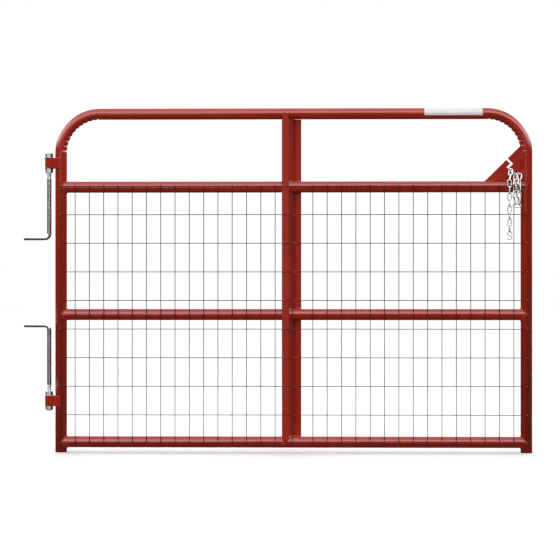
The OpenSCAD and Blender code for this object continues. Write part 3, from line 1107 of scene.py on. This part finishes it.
class GATE_OT_finishes(bpy.types.Operator):
    """Give the carried-over parts their enamel, plating and vinyl"""

    bl_idname = "gate.finishes"
    bl_label = "Finishes"

    def execute(self, context):
        for node, part in NODES.items():
            if node.startswith("chain_"):
                name = "chain_zinc"
            elif node.startswith(("hinge_bolt", "nut_", "washer_")):
                name = "bolt_zinc"
            elif node.startswith("mesh_"):
                name = "wire_enamel"
            elif node == "rail_label":
                name = "label_vinyl"
            else:
                name = "red_enamel"
            part.data.materials.clear()
            part.data.materials.append(finish(name))
        return {"FINISHED"}


FLOOR_GAP = 0.0005
# Size, place from the gate's middle, watts, and whether glossy surfaces mirror it.
LIGHTS = {
    "overhead": ((4.0, 2.4), (-0.3, -1.0, 3.4), 12, True),
    "front": ((1.3, 3.2), (-1.1, -6.6, 0.2), 18, True),
    "fill": ((6.0, 4.0), (-1.5, -7.0, 1.5), 90, False),
    "behind": ((4.0, 1.5), (0.4, 3.6, 2.2), 12, True),
}


def softbox(name, size, place, target, power, mirrored):
    """An area light that faces its target and stays out of the camera's sight."""
    data = bpy.data.lights.new(name, "AREA")
    data.shape = "RECTANGLE"
    data.size, data.size_y = size
    data.energy = power
    lamp = bpy.data.objects.new(name, data)
    lamp.location = place
    lamp.rotation_euler = (target - place).to_track_quat("-Z", "Y").to_euler()
    lamp.visible_camera = False
    lamp.visible_glossy = mirrored
    bpy.context.scene.collection.objects.link(lamp)


class GATE_OT_stage(bpy.types.Operator):
    """Lay the floor, hang the lights and set the camera"""

    bl_idname = "gate.stage"
    bl_label = "Studio"

    def floor(self):
        half = settings("stage").floor_size / 2
        corners = [(-half, -half), (half, -half), (half, half), (-half, half)]
        mesh = new_mesh("floor", [(x, y, LEG_END - FLOOR_GAP) for x, y in corners],
                        faces=[(0, 1, 2, 3)])
        mesh.materials.append(finish("studio_floor"))
        floor = new_piece("floor", mesh)
        floor.visible_glossy = floor.visible_diffuse = False

    def lights(self, middle_point):
        for name, (size, offset, power, mirrored) in LIGHTS.items():
            softbox(name, size, middle_point + Vector(offset), middle_point, power, mirrored)

    def world(self):
        """A bright ceiling over dark ground, and plain white where the camera sees it."""
        s = settings("stage")
        world = bpy.data.worlds.new("studio")
        bpy.context.scene.world = world
        world.use_nodes = True
        world.cycles.sampling_method = "NONE"
        graph = Graph(world.node_tree)
        background = world.node_tree.nodes["Background"]
        path = graph.add("ShaderNodeLightPath").outputs
        way = graph.add("ShaderNodeTexCoord").outputs["Generated"]
        height = graph.add("ShaderNodeSeparateXYZ", {"Vector": way}).outputs["Z"]
        ceiling = graph.ramp_up(height, 0.14, 0.36)
        zenith = graph.ramp_up(height, 0.5, 0.85)
        band = graph.calc("SUBTRACT", ceiling, graph.calc("MULTIPLY", zenith, 0.7))
        mirrored = graph.calc("MULTIPLY_ADD", band, s.ceiling_shine, 0.08)
        scattered = graph.calc("MULTIPLY_ADD", graph.ramp_up(height, -0.3, 0.3), 0.8, 0.12)
        strength = graph.calc("MULTIPLY_ADD", path["Is Glossy Ray"], mirrored,
                              path["Is Camera Ray"])
        strength = graph.calc("MULTIPLY_ADD", path["Is Diffuse Ray"], scattered, strength)
        graph.feed(background.inputs["Color"], (1, 1, 1, 1))
        graph.feed(background.inputs["Strength"], strength)

    def camera(self, middle_point):
        s = settings("stage")
        data = bpy.data.cameras.new("camera")
        camera = bpy.data.objects.new("camera", data)
        aim = middle_point + Vector((s.aim_aside, 0, 0))
        back = Vector((math.sin(s.camera_turn), -math.cos(s.camera_turn), 0))
        camera.location = aim + back * s.camera_distance
        camera.rotation_euler = (-back).to_track_quat("-Z", "Y").to_euler()
        data.lens = data.sensor_width * s.camera_distance / s.view_width
        bpy.context.scene.collection.objects.link(camera)
        bpy.context.scene.camera = camera

    def execute(self, context):
        middle_point = (CAD_LOW + CAD_HIGH) / 2
        middle_point.y = 0
        self.floor()
        self.lights(middle_point)
        self.world()
        self.camera(middle_point)
        context.scene.view_settings.view_transform = "Standard"
        return {"FINISHED"}


class GATE_PT_panel(bpy.types.Panel):
    """Lists the gate's settings and the steps that build its looks"""

    bl_idname = "GATE_PT_panel"
    bl_label = "Livestock gate"
    bl_space_type = "VIEW_3D"
    bl_region_type = "UI"
    bl_category = "Gate"

    def draw(self, context):
        layout = self.layout
        for name, group in SETTINGS.items():
            box = layout.box()
            for label in group.__annotations__:
                box.prop(settings(name), label)
        for operator in OPERATORS:
            layout.operator(operator.bl_idname)


SETTINGS = {
    "frame": FrameSettings,
    "welds": WeldSettings,
    "hardware": HardwareSettings,
    "finish": FinishSettings,
    "stage": StageSettings,
}
OPERATORS = (
    GATE_OT_stage, GATE_OT_finishes, GATE_OT_frame_tube, GATE_OT_sheet_parts,
    GATE_OT_wire_welds, GATE_OT_weld_beads, GATE_OT_hinge_bolts, GATE_OT_nuts_washers,
    GATE_OT_chain,
)
CLASSES = (*SETTINGS.values(), *OPERATORS, GATE_PT_panel)


def register():
    for item in CLASSES:
        bpy.utils.register_class(item)
    for name, group in SETTINGS.items():
        setattr(bpy.types.Scene, "gate_" + name, PointerProperty(type=group))


def unregister():
    for name in SETTINGS:
        delattr(bpy.types.Scene, "gate_" + name)
    for item in reversed(CLASSES):
        bpy.utils.unregister_class(item)


def main():
    register()
    for operator in OPERATORS:
        family, action = operator.bl_idname.split(".")
        getattr(getattr(bpy.ops, family), action)()


if __name__ == "__main__":
    main()
